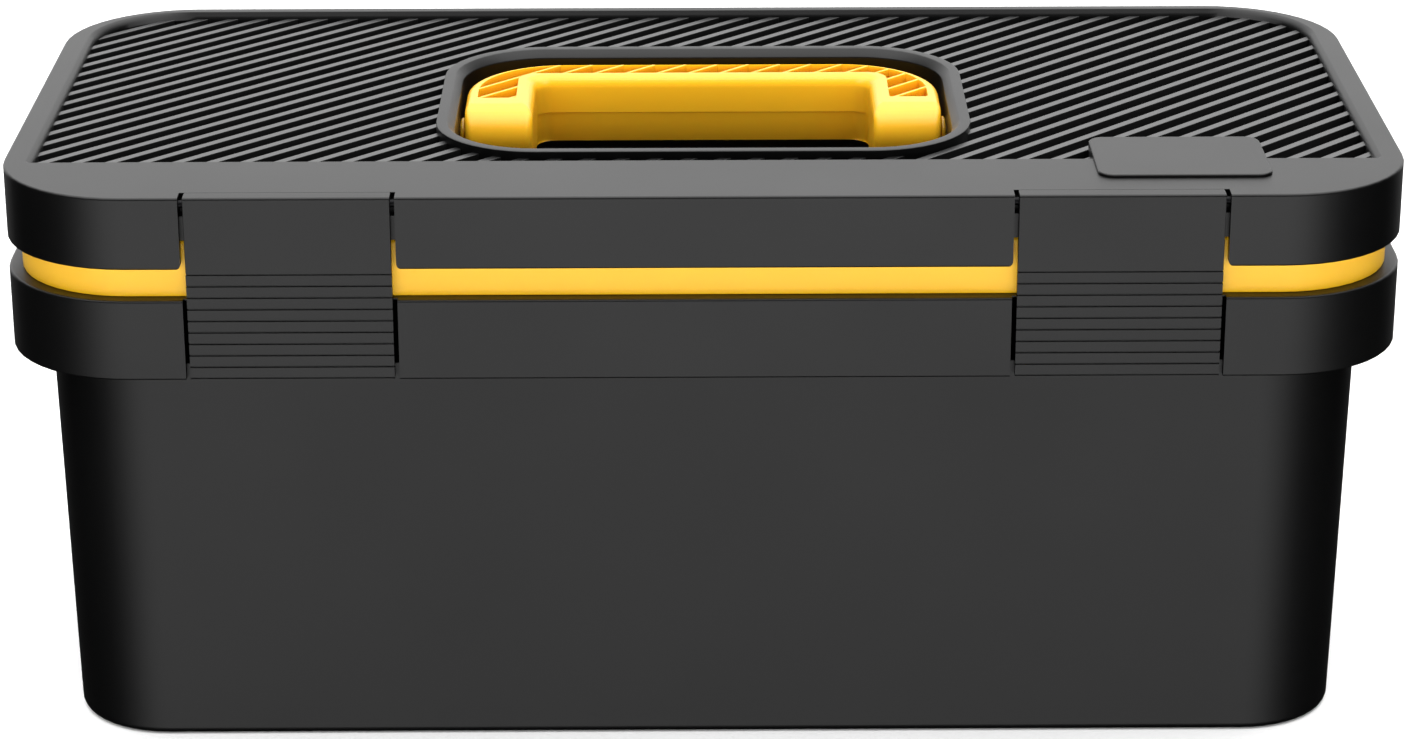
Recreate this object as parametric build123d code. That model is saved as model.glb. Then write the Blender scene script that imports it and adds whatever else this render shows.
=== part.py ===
from build123d import *
import math
import os

# A 14-inch moulded toolbox with a lift-out tray, in millimetres.
# Origin: centre of the underside. +X to the right, +Y to the back (the hinge side), +Z up.

# ---------------------------------------------------------------- tub
TUB_HALF = (167.2, 76.3)            # half length and half depth at the underside
TUB_RADIUS = 26.0
TUB_DRAFT = 1.05                    # degrees, outwards going up
TUB_WALL = 2.5
TUB_FLOOR = 3.0
FOOT_ROUND = 2.0                    # rounding of the bottom edge
FOOT_POCKET = (136.0, 50.0, 1.0)    # the four shallow pockets in the underside
FOOT_POCKET_AT = (79.0, 36.0)
FOOT_POCKET_RADIUS = 14.0

RIM_HALF = (178.7, 86.4)            # the outward-turned rim
RIM_RADIUS = 34.0
RIM_TOP = 124.8
RIM_FOOT = 103.7
RIM_PLATE = 2.5
RIM_SKIRT = 2.2
WEB = 1.5                           # thickness of the webs under the rim
WEB_SPAN_X = (-135, 135, 22.5)      # first, last and pitch of the webs front and back
WEB_SPAN_Y = (-40, 40, 20)          # and at the ends
WEB_FOOT = RIM_FOOT + 3.0
WEB_TOP = RIM_TOP - 1.0
BITE = 1.0                          # how far joined pieces run into each other

# ---------------------------------------------------------------- lid
LID_HALF = (178.5, 87.0)
LID_RADIUS = 34.0
LID_TOP = 152.0
LID_FOOT = 133.2
LID_WALL = 2.5
LID_PLATE = 2.6                     # thickness of the frame round the ribbed field
EDGE_ROUND = 1.0

FIELD_HALF_X = 171.7                # the sunk, ribbed field
FIELD_FRONT = -57.5
FIELD_BACK = 83.3
FIELD_BACK_RADIUS = 26.0
FIELD_FRONT_RADIUS = 1.5
FIELD_FLOOR = 146.6
FIELD_PLATE = 2.4
RIB_TOP = 150.1
RIB_WIDTH = 2.3
RIB_PITCH_X = 8.64                  # spacing measured along X
RIB_ANGLE = 46.0                    # degrees from +X
RIB_PHASE_X = -79.8                 # where one rib's middle line meets the field's front edge

WELL_HALF_X = 65.2                  # the handle's well, below its chamfered mouth
WELL_FRONT = -44.9
WELL_BACK = 41.8
WELL_RADIUS = 22.0
WELL_FLOOR = 129.0
WELL_WALL = 2.2
MOUTH = 2.1                         # chamfer round the top of the well
COLLAR = 4.9                        # how far the flush collar reaches beyond the well's wall

PAD_CENTRE = (121.0, -57.2)         # plain raised pad on the lid
PAD_SIZE = (44.0, 32.0)
PAD_RADIUS = 4.0
PAD_TOP = 152.8
PAD_ROUND = 0.5

STIFFENER = 1.6                     # ribs on the lid's underside
STIFFENER_FOOT = 138.5
STIFFENER_X = (-150, -115, -85, 85, 115, 150)
STIFFENER_Y = (-54, 62)
STIFFENER_SPAN_X = (-165, 165)
STIFFENER_SPAN_Y = (-72, 78)

# ---------------------------------------------------------------- latches
LATCH_X = 103.65                    # middle of each latch
LATCH_WIDTH = 51.3
LATCH_GAP = 1.2
LATCH_PLATE = 2.0
LATCH_FOOT = 104.0
LATCH_AXIS = (-84.8, 149.8)         # Y and Z of the latch pin
LATCH_BARREL = 2.2
LATCH_LIP_BACK = -82.55
LATCH_PIN_R = 1.0
RIDGE_PITCH = 3.05
RIDGE_COUNT = 9
RIDGE_TOP = 131.7
RIDGE_CUT = 0.5
HOOK_TOP = 106.8
HOOK_BACK = -83.6
BAY_FACE = -84.6                    # front of the catch wall in the rim's bay
BAY_WALL = 2.0
BAY_CHEEK = 2.0                     # thickness of the walls at each side of the rim's bay
CATCH_FOOT = 107.2
BAY_WEB_STEP = 3.0                  # webs behind the catch start this far above its foot
STOP_FACE = (-84.7, -83.5)          # the lid's stop tongue: front and back
STOP_FOOT = 125.0
SHELF = 1.8                         # thickness of the shelf behind each latch
STOP_INSET = 4.0                    # the tongue is this much narrower than the bay at each end
CHEEK = 4.0                         # length of the pin's bosses beside the lid's bay
PIN_BITE = 3.0                      # how far the latch pin runs into each boss
SLOT_CORNER = 1.5                   # rounding where a slot meets the lid's lower edge

# ---------------------------------------------------------------- rear hinges
HINGE_X = 100.0
HINGE_AXIS = (90.5, 129.0)          # Y and Z
KNUCKLE_R = 4.0
KNUCKLE_END = 16.0                  # length of each of the tub's two knuckles
KNUCKLE_MID = 22.0                  # length of the lid's knuckle between them
KNUCKLE_GAP = 0.5
HINGE_PIN_R = 1.5
RUNNING = 0.06                      # radial running clearance

# ---------------------------------------------------------------- handle
PIVOT = (1.0, 140.45)               # Y and Z
HANDLE_HALF_X = 63.7
ARM_WIDTH = 18.2
HANDLE_TOP = 149.75
HANDLE_FOOT = 131.15
HANDLE_BACK = 37.4
HANDLE_EDGE = 1.5                   # rounding of the outer top edge
BAR_FRONT = 28.0                    # where the grip's rounded shoulder starts on top
BAR_CREASE = (24.6, 139.6)          # Y and Z of the grip's crease
BAR_UNDERCUT = 0.7                  # how far the face below the crease leans back
SHOULDER = 3.4                      # rounding of the inner top edges
HANDLE_RADIUS = 26.0
KNUCKLE_ROUND = 9.3
POCKET_WALL = 1.3
POCKET_BAR = 28.6                   # Y of the pocket's front side along the bar
POCKET_DEPTH = 12.0
POCKET_X = (50.4, 60.6)
POCKET_FRONT = 4.5
POCKET_RIB = 1.0                    # thickness of the slanted ribs in the pocket
POCKET_RIB_PHASE = -4.3
HANDLE_PIN_R = 3.0
PIN_DISC_R = 4.8
PIN_DISC = (64.0, 65.0)             # the disc beside the arm: its X span
HANDLE_PIN_IN = 12.0                # how far the pin runs into the arm

# ---------------------------------------------------------------- tray
BAND_INSET = 3.5                    # the visible band stands this far in from the rim's face
BAND_TOP = 139.5
BAND_WALL = 2.0
BAND_ROUND = 0.8
PAN_HALF = (165.6, 74.7)
PAN_RADIUS = 22.0
PAN_DRAFT = 3.0
PAN_FOOT = 91.0
PAN_WALL = 2.0
PAN_ROUND = 3.0                     # rounding of the pan's lower edge
SPINE_TOP = 117.0                   # the carrying wall along the middle
SPINE_WALL = 3.0
GRIP_BAR = (120.0, 9.0, 6.0)
GRIP_SLOT = (92.0, 15.0)
DIVIDER_X = (-62.0, 62.0)
DIVIDER_TOP = 115.0
DIVIDER_WALL = 1.6
DIVIDER_NOTCH_R = 9.0
GUIDE = 1.5
SLOT_PLAY = 0.2
SIDES = (-1, 1)


def slab(half_x, half_y, radius, foot, top, y=0.0):
    """Upright block with a rounded rectangular plan."""
    plan = Pos(0, y, foot) * RectangleRounded(2 * half_x, 2 * half_y, radius)
    return extrude(plan, top - foot)


def drafted(half_x, half_y, radius, foot, top, draft, mid=0.0):
    """Block with draft: the half sizes hold at height `mid`."""
    plans = []
    for height in (foot, top):
        grow = (height - mid) * math.tan(math.radians(draft))
        plans.append(Pos(0, 0, height) * RectangleRounded(
            2 * (half_x + grow), 2 * (half_y + grow), radius + grow))
    return loft(plans, ruled=True)


def block(x, y, z):
    """Box from (low, high) pairs."""
    centre = [(pair[0] + pair[1]) / 2 for pair in (x, y, z)]
    return Pos(*centre) * Box(x[1] - x[0], y[1] - y[0], z[1] - z[0])


def side_profile(shape, x_low, x_high):
    """Extrude a sketch drawn in (Y, Z) along X."""
    plane = Plane(origin=(x_low, 0, 0), x_dir=(0, 1, 0), z_dir=(1, 0, 0))
    return extrude(plane * shape, x_high - x_low)


def rod(y, z, radius, x_low, x_high):
    """Round bar along X."""
    return side_profile(Pos(y, z) * Circle(radius), x_low, x_high)


def polygon(*points):
    """Filled outline through the points, anywhere in the plane."""
    return make_face(Polyline(*points, close=True))


def spaced(low, high, pitch):
    """Evenly spaced places from low to high."""
    count = int(round((high - low) / pitch))
    return [low + pitch * i for i in range(count + 1)]


def slanted_bars(width, pitch_x, phase_x, base_y, reach):
    """Parallel bars across the plan at the rib angle."""
    bar = Rotation(0, 0, RIB_ANGLE) * Rectangle(4 * reach, width)
    count = math.ceil(2 * reach / pitch_x)
    return Sketch() + [Pos(phase_x + i * pitch_x, base_y) * bar for i in range(-count, count + 1)]


def latch_sides(side):
    """Low and high X of one latch's bay."""
    half = LATCH_WIDTH / 2 + LATCH_GAP
    return side * LATCH_X - half, side * LATCH_X + half


def hinge_spans(side):
    """X spans of one hinge: the tub's two knuckles and the lid's one."""
    middle = side * HINGE_X
    half = KNUCKLE_MID / 2
    lid = (middle - half, middle + half)
    left = (lid[0] - KNUCKLE_GAP - KNUCKLE_END, lid[0] - KNUCKLE_GAP)
    right = (lid[1] + KNUCKLE_GAP, lid[1] + KNUCKLE_GAP + KNUCKLE_END)
    return left, lid, right


def make_tub():
    """The tub with its rim, webs, latch bays and hinge knuckles."""
    outside = drafted(*TUB_HALF, TUB_RADIUS, 0, RIM_TOP, TUB_DRAFT)
    outside = fillet(outside.edges().group_by(Axis.Z)[0], FOOT_ROUND)
    inside = drafted(TUB_HALF[0] - TUB_WALL, TUB_HALF[1] - TUB_WALL, TUB_RADIUS - TUB_WALL,
                     TUB_FLOOR, RIM_TOP + 1, TUB_DRAFT)
    rim = slab(*RIM_HALF, RIM_RADIUS, RIM_FOOT, RIM_TOP)
    rim = fillet(rim.edges().group_by(Axis.Z)[-1], EDGE_ROUND)
    hollow = slab(RIM_HALF[0] - RIM_SKIRT, RIM_HALF[1] - RIM_SKIRT, RIM_RADIUS - RIM_SKIRT,
                  RIM_FOOT - 1, RIM_TOP - RIM_PLATE)
    tub = outside + (rim - hollow)

    webs = []
    for y in spaced(*WEB_SPAN_Y):
        for side in SIDES:
            x = sorted((side * (TUB_HALF[0] + BITE), side * (RIM_HALF[0] - BITE)))
            webs.append(block(x, (y - WEB / 2, y + WEB / 2), (WEB_FOOT, WEB_TOP)))
    for x in spaced(*WEB_SPAN_X):
        across = (x - WEB / 2, x + WEB / 2)
        in_bay = any(low - BAY_CHEEK - WEB < x < high + BAY_CHEEK + WEB
                     for low, high in map(latch_sides, SIDES))
        webs.append(block(across, (TUB_HALF[1] + BITE, RIM_HALF[1] - BITE), (WEB_FOOT, WEB_TOP)))
        front = (BAY_FACE if in_bay else -RIM_HALF[1]) + BITE
        foot = CATCH_FOOT + BAY_WEB_STEP if in_bay else WEB_FOOT
        webs.append(block(across, (front, -TUB_HALF[1] - BITE), (foot, WEB_TOP)))
    tub += webs

    for side in SIDES:
        low, high = latch_sides(side)
        tub -= block((low, high), (-RIM_HALF[1] - 1, BAY_FACE), (RIM_FOOT - 1, RIM_TOP + 1))
        tub -= block((low, high), (BAY_FACE - 1, BAY_FACE + BAY_WALL), (RIM_FOOT - 1, CATCH_FOOT))
        catch = (BAY_FACE, BAY_FACE + BAY_WALL)
        tub += block((low - BAY_CHEEK, high + BAY_CHEEK), catch, (CATCH_FOOT, RIM_TOP))
        for cheek in ((low - BAY_CHEEK, low), (high, high + BAY_CHEEK)):
            tub += block(cheek, (BITE - RIM_HALF[1], -TUB_HALF[1] - BITE), (RIM_FOOT, WEB_TOP))

    y, z = HINGE_AXIS
    arm = polygon((RIM_HALF[1] - 1, RIM_FOOT + 4), (y + KNUCKLE_R, z - 10), (y + KNUCKLE_R, z),
                  (y - KNUCKLE_R, z), (RIM_HALF[1] - 1, RIM_TOP - 1))
    arm += Pos(y, z) * Circle(KNUCKLE_R)
    for side in SIDES:
        left, _, right = hinge_spans(side)
        for span in (left, right):
            tub += side_profile(arm, *span)
            tub -= rod(y, z, HINGE_PIN_R, span[0] - 1, span[1] + 1)

    tub -= inside
    length, width, depth = FOOT_POCKET
    pocket = extrude(RectangleRounded(length, width, FOOT_POCKET_RADIUS), depth)
    for x in SIDES:
        for y in SIDES:
            tub -= Pos(x * FOOT_POCKET_AT[0], y * FOOT_POCKET_AT[1], 0) * pocket
    return tub


def field_plan(grow):
    """The ribbed field's outline, grown outwards by `grow`."""
    half_x = FIELD_HALF_X + grow
    front, back = FIELD_FRONT - grow, FIELD_BACK + grow
    plan = Pos(0, (front + back) / 2) * Rectangle(2 * half_x, back - front)
    corners = plan.vertices().group_by(Axis.Y)
    plan = fillet(corners[-1], FIELD_BACK_RADIUS + grow)
    corners = plan.vertices().group_by(Axis.Y)[0]
    return fillet(corners, FIELD_FRONT_RADIUS + max(grow, 0))


def well_plan(grow):
    """The handle well's outline, grown outwards by `grow`."""
    middle = (WELL_FRONT + WELL_BACK) / 2
    size = (2 * (WELL_HALF_X + grow), WELL_BACK - WELL_FRONT + 2 * grow)
    return Pos(0, middle) * RectangleRounded(*size, WELL_RADIUS + grow)


def rise(plan, foot, top):
    """Extrude a plan between two heights."""
    return extrude(Pos(0, 0, foot) * plan, top - foot)


def make_lid():
    """The lid: frame, ribbed field, handle well, latch bays and hinge knuckles."""
    lid = slab(*LID_HALF, LID_RADIUS, LID_FOOT, LID_TOP)
    lid = fillet(lid.edges().group_by(Axis.Z)[-1], EDGE_ROUND)
    lid -= slab(LID_HALF[0] - LID_WALL, LID_HALF[1] - LID_WALL, LID_RADIUS - LID_WALL,
                LID_FOOT - 1, LID_TOP - LID_PLATE)

    lid += rise(field_plan(2.0), FIELD_FLOOR - FIELD_PLATE, LID_TOP - 1)
    lid -= rise(field_plan(0), FIELD_FLOOR, LID_TOP + 1)
    ribs = slanted_bars(RIB_WIDTH, RIB_PITCH_X, RIB_PHASE_X, FIELD_FRONT, FIELD_HALF_X)
    lid += rise(ribs & (field_plan(0.5) - well_plan(0.5)), FIELD_FLOOR - 0.5, RIB_TOP)
    lid += rise(well_plan(COLLAR), FIELD_FLOOR - 0.5, LID_TOP)

    lid += rise(well_plan(WELL_WALL), WELL_FLOOR - WELL_WALL, LID_TOP)
    lid -= rise(well_plan(0), WELL_FLOOR, LID_TOP + 1)
    mouth = [(LID_TOP - MOUTH, 0), (LID_TOP, MOUTH)]
    lid -= loft([Pos(0, 0, height) * well_plan(grow) for height, grow in mouth], ruled=True)
    pad = Pos(*PAD_CENTRE) * RectangleRounded(*PAD_SIZE, PAD_RADIUS)
    pad_solid = rise(pad, FIELD_FLOOR - 0.5, PAD_TOP)
    lid += fillet(pad_solid.edges().group_by(Axis.Z)[-1], PAD_ROUND)

    ribs_z = (STIFFENER_FOOT, FIELD_FLOOR - BITE)
    half = STIFFENER / 2
    lid += [block((x - half, x + half), STIFFENER_SPAN_Y, ribs_z) for x in STIFFENER_X]
    lid += [block(STIFFENER_SPAN_X, (y - half, y + half), ribs_z) for y in STIFFENER_Y]

    y, z = LATCH_AXIS
    lip = (LATCH_LIP_BACK - y) ** 2 + (LID_TOP - z) ** 2
    sweep_r = math.sqrt(lip) + 0.06
    stop_front, stop_back = STOP_FACE
    shelf_top = z - sweep_r - 0.05
    riser = y + sweep_r + 0.05
    wall = polygon((stop_front, BAND_TOP + 0.8), (stop_front, shelf_top), (riser, shelf_top),
                   (riser, LID_TOP - LID_PLATE + 0.2), (riser + 2, LID_TOP - LID_PLATE + 0.2),
                   (riser + 2, shelf_top - SHELF), (stop_back, shelf_top - SHELF),
                   (stop_back, BAND_TOP + 0.8))
    for side in SIDES:
        low, high = latch_sides(side)
        front_cut = Pos((low + high) / 2, LID_TOP - 10) * Rectangle(high - low, 22)
        front_cut += Pos((low + high) / 2, LID_FOOT + 1) * Rectangle(high - low, 22)
        for x, away in ((low, -1), (high, 1)):
            corner = Pos(x + away * SLOT_CORNER / 2, LID_FOOT) * Rectangle(SLOT_CORNER, 2 * SLOT_CORNER)
            middle = (x + away * SLOT_CORNER, LID_FOOT + SLOT_CORNER)
            front_cut += corner - Pos(*middle) * Circle(SLOT_CORNER)
        plane = Plane(origin=(0, LATCH_LIP_BACK + 0.15, 0), x_dir=(1, 0, 0), z_dir=(0, -1, 0))
        lid -= extrude(plane * front_cut, 8)
        lid += side_profile(wall, low - 2, high + 2)
        tongue = (low + STOP_INSET, high - STOP_INSET)
        lid += block(tongue, STOP_FACE, (STOP_FOOT, BAND_TOP + BITE))
        for cheek in ((low - CHEEK, low), (high, high + CHEEK)):
            lid += block(cheek, (BITE - LID_HALF[1], riser), (shelf_top - SHELF, LID_TOP - BITE))
        lid -= rod(y, z, sweep_r, low, high)
        lid -= rod(y, z, LATCH_PIN_R, low - PIN_BITE, high + PIN_BITE)

    y, z = HINGE_AXIS
    arm = polygon((y - KNUCKLE_R, z), (y + KNUCKLE_R, z), (y + KNUCKLE_R, z + 8),
                  (LID_HALF[1] - 1, LID_TOP - 5), (LID_HALF[1] - 1, LID_FOOT + 0.4))
    arm += Pos(y, z) * Circle(KNUCKLE_R)
    for side in SIDES:
        _, span, _ = hinge_spans(side)
        lid += side_profile(arm, *span)
        lid -= rod(y, z, HINGE_PIN_R + RUNNING, span[0] - 1, span[1] + 1)
        lid -= rod(*PIVOT, HANDLE_PIN_R + RUNNING, *sorted((side * 60, side * 75)))
    return lid


def make_latch(side):
    """One latch: plate, lip with the pin's barrel, ridged pull and hook."""
    y, z = LATCH_AXIS
    front = -LID_HALF[1]
    shape = polygon((front, LATCH_FOOT), (front, LID_TOP), (LATCH_LIP_BACK, LID_TOP),
                    (LATCH_LIP_BACK, z), (front + LATCH_PLATE, z), (front + LATCH_PLATE, HOOK_TOP),
                    (HOOK_BACK, HOOK_TOP - 0.6), (HOOK_BACK, LATCH_FOOT + 0.8),
                    (front + LATCH_PLATE, LATCH_FOOT))
    corner = shape.vertices().sort_by_distance((front, LID_TOP, 0))[0]
    shape = fillet(corner, EDGE_ROUND)
    shape += Pos(y, z) * Circle(LATCH_BARREL)
    for i in range(RIDGE_COUNT):
        cut = Rectangle(2 * RIDGE_CUT, RIDGE_CUT)
        shape -= Pos(front, RIDGE_TOP - i * RIDGE_PITCH) * cut
    half = LATCH_WIDTH / 2
    latch = side_profile(shape, side * LATCH_X - half, side * LATCH_X + half)
    return latch - rod(y, z, LATCH_PIN_R + RUNNING, side * LATCH_X - 40, side * LATCH_X + 40)


def make_latch_pin(side):
    """Steel pin across one latch bay."""
    low, high = latch_sides(side)
    return rod(*LATCH_AXIS, LATCH_PIN_R, low - PIN_BITE, high + PIN_BITE)


def make_hinge_pin(side):
    """Steel pin of one rear hinge."""
    left, _, right = hinge_spans(side)
    return rod(*HINGE_AXIS, HINGE_PIN_R, left[0], right[1])


def handle_plan(grow):
    """Plan of the bail: a U with its arms towards the front."""
    half_x = HANDLE_HALF_X + grow
    front = PIVOT[0] - KNUCKLE_ROUND - 1
    back = HANDLE_BACK + grow
    outer = Pos(0, (front + back) / 2) * Rectangle(2 * half_x, back - front)
    return fillet(outer.vertices().group_by(Axis.Y)[-1], HANDLE_RADIUS + grow)


def make_handle():
    """The bail handle with its cored and ribbed pocket, lying back in the well."""
    whole = rise(handle_plan(0), HANDLE_FOOT, HANDLE_TOP)
    whole = fillet(whole.edges().group_by(Axis.Z)[-1], HANDLE_EDGE)
    crease_y, crease_z = BAR_CREASE
    reach = PIVOT[0] - 30
    shoulder_z = HANDLE_TOP - SHOULDER
    middle = (BAR_FRONT - SHOULDER * math.sqrt(0.5), shoulder_z + SHOULDER * math.sqrt(0.5))
    space = Polyline((BAR_FRONT, HANDLE_TOP), (reach, HANDLE_TOP), (reach, HANDLE_FOOT),
                     (crease_y + BAR_UNDERCUT, HANDLE_FOOT), (crease_y, crease_z),
                     (crease_y, shoulder_z))
    space += ThreePointArc((crease_y, shoulder_z), middle, (BAR_FRONT, HANDLE_TOP))
    hollow = side_profile(make_face(space), -HANDLE_HALF_X - 1, HANDLE_HALF_X + 1)

    height = HANDLE_TOP - HANDLE_FOOT
    inner_x = HANDLE_HALF_X - ARM_WIDTH
    for side in SIDES:
        section = Pos(side * (inner_x + ARM_WIDTH), HANDLE_FOOT + height / 2) * Rectangle(
            2 * ARM_WIDTH, height)
        corner = section.vertices().sort_by_distance((side * inner_x, HANDLE_TOP, 0))[0]
        hollow -= extrude(Plane.XZ * fillet(corner, SHOULDER), 80, both=True)
    body = whole - hollow

    y, z = PIVOT
    knuckle = Pos(y, z) * Circle(KNUCKLE_ROUND)
    knuckle += polygon((y, HANDLE_FOOT), (HANDLE_BACK + 1, HANDLE_FOOT),
                       (HANDLE_BACK + 1, HANDLE_TOP), (y, HANDLE_TOP))
    body &= side_profile(knuckle, -HANDLE_HALF_X - 1, HANDLE_HALF_X + 1)

    pocket = handle_plan(-POCKET_WALL)
    pocket -= Pos(0, POCKET_BAR - 50) * Rectangle(2 * POCKET_X[0], 100)
    pocket -= Pos(0, POCKET_FRONT - 50) * Rectangle(200, 100)
    for side in SIDES:
        pocket -= Pos(side * (POCKET_X[1] + 25), -50 + POCKET_FRONT + 14) * Rectangle(50, 100)
    ribs = slanted_bars(POCKET_RIB, RIB_PITCH_X, POCKET_RIB_PHASE, BAR_FRONT, HANDLE_HALF_X)
    body -= rise(pocket - ribs, HANDLE_TOP - POCKET_DEPTH, HANDLE_TOP + 1)
    for side in SIDES:
        body -= rod(y, z, HANDLE_PIN_R, *sorted((side * (HANDLE_HALF_X - HANDLE_PIN_IN), side * 80)))
    return body


def make_handle_pin(side):
    """Pivot pin with a disc, pressed into one arm and turning in the well's wall."""
    shank = sorted((side * (HANDLE_HALF_X - HANDLE_PIN_IN), side * (WELL_HALF_X + WELL_WALL)))
    disc = sorted((side * PIN_DISC[0], side * PIN_DISC[1]))
    return rod(*PIVOT, HANDLE_PIN_R, *shank) + rod(*PIVOT, PIN_DISC_R, *disc)


def pan_half_y(height):
    """Half depth of the pan's outside at a height."""
    return PAN_HALF[1] + (height - RIM_TOP) * math.tan(math.radians(PAN_DRAFT))


def make_tray():
    """The lift-out tray: upright band, flange, pan, carrying wall and divider guides."""
    band_half = [size - BAND_INSET for size in RIM_HALF]
    band_radius = RIM_RADIUS - BAND_INSET
    band = slab(*band_half, band_radius, RIM_TOP, BAND_TOP)
    band = fillet(band.edges().group_by(Axis.Z)[-1], BAND_ROUND)
    band -= slab(band_half[0] - BAND_WALL, band_half[1] - BAND_WALL, band_radius - BAND_WALL,
                 RIM_TOP + BAND_WALL, BAND_TOP + 1)
    pan = drafted(*PAN_HALF, PAN_RADIUS, PAN_FOOT, RIM_TOP + 1, PAN_DRAFT, RIM_TOP)
    pan = fillet(pan.edges().group_by(Axis.Z)[0], PAN_ROUND)
    inside = drafted(PAN_HALF[0] - PAN_WALL, PAN_HALF[1] - PAN_WALL, PAN_RADIUS - PAN_WALL,
                     PAN_FOOT + PAN_WALL, BAND_TOP, PAN_DRAFT, RIM_TOP)
    tray = band + pan - inside

    floor = PAN_FOOT + PAN_WALL
    end = PAN_HALF[0] - PAN_WALL - 1
    spine = block((-end, end), (-SPINE_WALL / 2, SPINE_WALL / 2), (floor - 1, SPINE_TOP))
    length, width, height = GRIP_BAR
    spine += Pos(0, 0, SPINE_TOP - height / 2) * fillet(
        Box(length, width, height).edges().filter_by(Axis.X), 2)
    slot_width, slot_height = GRIP_SLOT
    slot = RectangleRounded(slot_width, slot_height, slot_height / 2 - 0.1)
    slot_middle = SPINE_TOP - height - slot_height / 2
    spine -= Pos(0, 0, slot_middle) * extrude(Plane.XZ * slot, 10, both=True)
    tray += spine

    foot_half = pan_half_y(floor) - PAN_WALL
    for x in DIVIDER_X:
        for side in SIDES:
            for edge in (-1, 1):
                middle = x + edge * (DIVIDER_WALL / 2 + SLOT_PLAY + GUIDE / 2)
                guide_x = (middle - GUIDE / 2, middle + GUIDE / 2)
                for start in (SPINE_WALL / 2 - 0.5, foot_half - 2 * GUIDE):
                    reach = 2 * GUIDE + 0.5 if start < 10 else 2 * GUIDE + 2
                    guide_y = sorted((side * start, side * (start + reach)))
                    tray += block(guide_x, guide_y, (floor - 0.5, DIVIDER_TOP))
    return tray


def make_divider(x, side):
    """Removable cross wall of the tray."""
    floor = PAN_FOOT + PAN_WALL
    near = SPINE_WALL / 2 + SLOT_PLAY
    far = pan_half_y(floor) - PAN_WALL - SLOT_PLAY
    across = (x - DIVIDER_WALL / 2, x + DIVIDER_WALL / 2)
    wall = block(across, sorted((side * near, side * far)), (floor + 0.05, DIVIDER_TOP - 1))
    notch = Pos(x, side * (near + far) / 2, DIVIDER_TOP) * Rotation(0, 90, 0) * Cylinder(DIVIDER_NOTCH_R, 10)
    return wall - notch


def side_name(side):
    return "left" if side < 0 else "right"


parts = {"base_tub": make_tub(), "lid_shell": make_lid(), "tray": make_tray(),
         "handle": make_handle()}
for side in SIDES:
    parts[f"latch_{side_name(side)}"] = make_latch(side)
    parts[f"latch_pin_{side_name(side)}"] = make_latch_pin(side)
    parts[f"hinge_pin_{side_name(side)}"] = make_hinge_pin(side)
    parts[f"handle_pin_{side_name(side)}"] = make_handle_pin(side)
places = [(x, side) for side in SIDES for x in DIVIDER_X]
for number, (x, side) in enumerate(places, start=1):
    parts[f"tray_divider_{number}"] = make_divider(x, side)

os.makedirs("parts", exist_ok=True)
for name, shape in parts.items():
    export_step(shape, f"parts/{name}.step")
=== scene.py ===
import math

import bmesh
import bpy
from mathutils import Matrix, Vector


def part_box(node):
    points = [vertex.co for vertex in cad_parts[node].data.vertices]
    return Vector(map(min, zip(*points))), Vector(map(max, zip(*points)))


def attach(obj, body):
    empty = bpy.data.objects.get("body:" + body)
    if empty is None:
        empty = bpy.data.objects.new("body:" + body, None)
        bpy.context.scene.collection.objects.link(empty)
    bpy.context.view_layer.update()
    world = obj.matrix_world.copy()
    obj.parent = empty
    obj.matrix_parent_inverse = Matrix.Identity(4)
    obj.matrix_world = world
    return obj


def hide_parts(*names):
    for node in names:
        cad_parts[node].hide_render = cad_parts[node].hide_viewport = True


# A moulded toolbox: black tub and lid, yellow tray and handle. Sizes are in millimetres,
# turned into metres when a mesh is made. +X right, +Y towards the hinges, +Z up.

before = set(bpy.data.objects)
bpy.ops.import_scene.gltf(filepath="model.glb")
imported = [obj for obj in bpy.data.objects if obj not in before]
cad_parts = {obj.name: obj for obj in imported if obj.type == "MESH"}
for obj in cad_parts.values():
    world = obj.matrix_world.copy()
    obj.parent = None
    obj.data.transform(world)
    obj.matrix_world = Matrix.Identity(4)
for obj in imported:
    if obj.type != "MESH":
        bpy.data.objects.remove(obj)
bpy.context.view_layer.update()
MM = 0.001
SAME_PLACE = 1e-7           # metres; points nearer than this are one


def node_box(node):
    """Lowest and highest corner of a CAD node, in millimetres."""
    low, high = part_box(node)
    return low / MM, high / MM


LID_LOW, LID_HIGH = node_box("lid_shell")
TUB_LOW, TUB_HIGH = node_box("base_tub")
BAND_LOW, BAND_HIGH = node_box("tray")
BAIL_LOW, BAIL_HIGH = node_box("handle")
LATCH_LOW, LATCH_HIGH = node_box("latch_right")
SIDES = (-1, 1)
HAND = {-1: "left", 1: "right"}
ARC_STEPS = 12              # divisions of a quarter circle in plan
EDGE_STEPS = 4              # divisions of a rounded edge
PAST = 2.0                  # how far a cutting tool runs past what it cuts

# tub
TUB_HALF = (167.2, 76.3)
TUB_RADIUS = 26.0
TUB_DRAFT = math.tan(math.radians(1.05))
TUB_WALL = 2.5
TUB_FLOOR = 3.0
FOOT_ROUND = 2.0
FOOT_POCKET = (68.0, 25.0, 14.0, 1.0)
FOOT_POCKET_AT = (79.0, 36.0)
RIM_HALF = (TUB_HIGH.x, -TUB_LOW.y)
RIM_RADIUS = 34.0
RIM_TOP = 124.8
RIM_FOOT = 103.7
RIM_PLATE = 2.5
RIM_SKIRT = 2.2
EDGE_ROUND = 0.7
LIP_ROUND = 0.8             # inner edge of the tub's mouth
FLOOR_FILLET = 3.0
WEB = 1.5
WEBS_END = (5, 20.0)        # how many webs along each end, and their pitch
WEBS_BACK = (13, 22.5)
WEBS_FRONT = (7, 22.5)      # only those between the latch bays

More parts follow.
